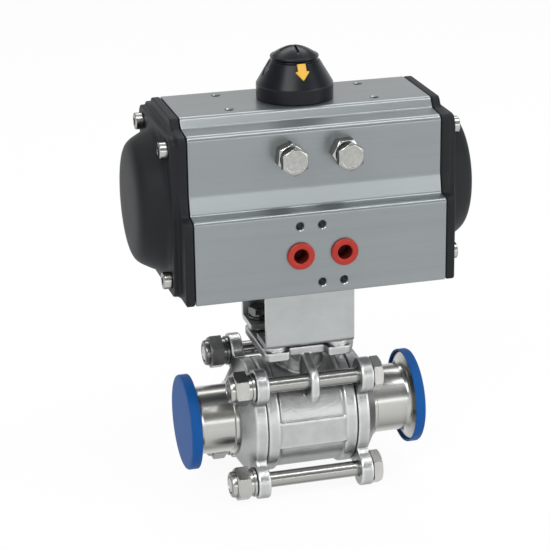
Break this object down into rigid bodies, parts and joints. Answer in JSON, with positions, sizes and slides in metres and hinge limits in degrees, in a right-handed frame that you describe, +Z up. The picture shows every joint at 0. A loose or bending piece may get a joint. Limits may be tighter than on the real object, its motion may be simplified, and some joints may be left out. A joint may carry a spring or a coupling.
{
  "type": "pneumatic ball valve",
  "caption": "Sanitary tube-end ball valve turned a quarter turn by a rack-and-pinion air actuator on a folded bracket, with a position indicator and travel stops.",
  "frame": {"origin": "centre of the part's footprint, on the surface that the valve's lower ears stand on", "axes": "+Z up along the stem, X along the flow and the actuator, -Y towards the air ports and travel stops"},
  "size_m": [0.187, 0.0948, 0.2487],
  "materials": {
    "anodised": "bead blasted and anodised",
    "black_cast": "satin black coating on cast aluminium",
    "black_plastic": "satin moulded plastic",
    "yellow_plastic": "moulded plastic",
    "red_plastic": "moulded plastic",
    "blue_plastic": "soft moulded plastic",
    "sheet_steel": "brushed stainless sheet",
    "cast_steel": "investment-cast stainless steel, tubes polished",
    "polished_steel": "polished stainless steel",
    "plated_steel": "plated steel",
    "seat_plastic": "PTFE",
    "seal_rubber": "nitrile rubber",
    "bush_plastic": "acetal"
  },
  "bodies": {
    "housing": {"actuator_body": "anodised", "actuator_bolt_1": "polished_steel", "actuator_bolt_2": "polished_steel", "actuator_bolt_3": "polished_steel", "actuator_bolt_4": "polished_steel", "body_bolt_1": "polished_steel", "body_bolt_2": "polished_steel", "body_bolt_3": "polished_steel", "body_bolt_4": "polished_steel", "body_nut_1": "polished_steel", "body_nut_2": "polished_steel", "body_nut_3": "polished_steel", "body_nut_4": "polished_steel", "bracket_bolt_1": "polished_steel", "bracket_bolt_2": "polished_steel", "bracket_bolt_3": "polished_steel", "bracket_bolt_4": "polished_steel", "gland_nut": "polished_steel", "left_cap_screw_1": "polished_steel", "left_cap_screw_2": "polished_steel", "left_cap_screw_3": "polished_steel", "left_cap_screw_4": "polished_steel", "left_cap_seal": "seal_rubber", "left_end_cap": "black_cast", "left_end_piece": "cast_steel", "left_seat": "seat_plastic", "left_stop_nut": "polished_steel", "mounting_bracket": "sheet_steel", "pinion_bottom_bush": "bush_plastic", "pinion_top_bush": "bush_plastic", "right_cap_screw_1": "polished_steel", "right_cap_screw_2": "polished_steel", "right_cap_screw_3": "polished_steel", "right_cap_screw_4": "polished_steel", "right_cap_seal": "seal_rubber", "right_end_cap": "black_cast", "right_end_piece": "cast_steel", "right_seat": "seat_plastic", "right_stop_nut": "polished_steel", "stem_packing": "seat_plastic", "valve_body": "cast_steel"},
    "drive_train": {"pinion": "plated_steel", "stop_cam": "plated_steel", "position_indicator": "black_plastic", "indicator_cap": "black_plastic", "front_arrow": "yellow_plastic", "back_arrow": "yellow_plastic", "drive_coupling": "polished_steel", "stem": "polished_steel", "ball": "polished_steel"},
    "left_piston_body": {"left_piston": "anodised", "left_piston_seal": "seal_rubber"},
    "right_piston_body": {"right_piston": "anodised", "right_piston_seal": "seal_rubber"},
    "left_stop_bolt_body": {"left_stop_bolt": "polished_steel"},
    "right_stop_bolt_body": {"right_stop_bolt": "polished_steel"},
    "left_port_plug_body": {"left_port_plug": "red_plastic"},
    "right_port_plug_body": {"right_port_plug": "red_plastic"},
    "left_dust_cap_body": {"left_dust_cap": "blue_plastic"},
    "right_dust_cap_body": {"right_dust_cap": "blue_plastic"}
  },
  "joints": [
    {"name": "valve_turn", "type": "hinge", "parent": "housing", "child": "drive_train", "pos_m": [0, 0.00705, 0.12], "axis": [0, 0, 1], "range_deg": [0, 90]},
    {"name": "left_piston_slide", "type": "slide", "parent": "housing", "child": "left_piston_body", "axis": [-1, 0, 0], "range_m": [0, 0.01886]},
    {"name": "right_piston_slide", "type": "slide", "parent": "housing", "child": "right_piston_body", "axis": [1, 0, 0], "range_m": [0, 0.01886]},
    {"name": "left_stop_adjust", "type": "slide", "parent": "housing", "child": "left_stop_bolt_body", "axis": [0, -1, 0], "range_m": [0, 0.003]},
    {"name": "right_stop_adjust", "type": "slide", "parent": "housing", "child": "right_stop_bolt_body", "axis": [0, -1, 0], "range_m": [0, 0.003]},
    {"name": "left_port_plug_pull", "type": "slide", "parent": "housing", "child": "left_port_plug_body", "axis": [0, -1, 0], "range_m": [0, 0.014]},
    {"name": "right_port_plug_pull", "type": "slide", "parent": "housing", "child": "right_port_plug_body", "axis": [0, -1, 0], "range_m": [0, 0.014]},
    {"name": "left_dust_cap_pull", "type": "slide", "parent": "housing", "child": "left_dust_cap_body", "axis": [-1, 0, 0], "range_m": [0, 0.03]},
    {"name": "right_dust_cap_pull", "type": "slide", "parent": "housing", "child": "right_dust_cap_body", "axis": [1, 0, 0], "range_m": [0, 0.03]}
  ],
  "couplings": [
    {"joint": "left_piston_slide", "follows": "valve_turn", "m_per_rad": 0.012},
    {"joint": "right_piston_slide", "follows": "valve_turn", "m_per_rad": 0.012}
  ]
}
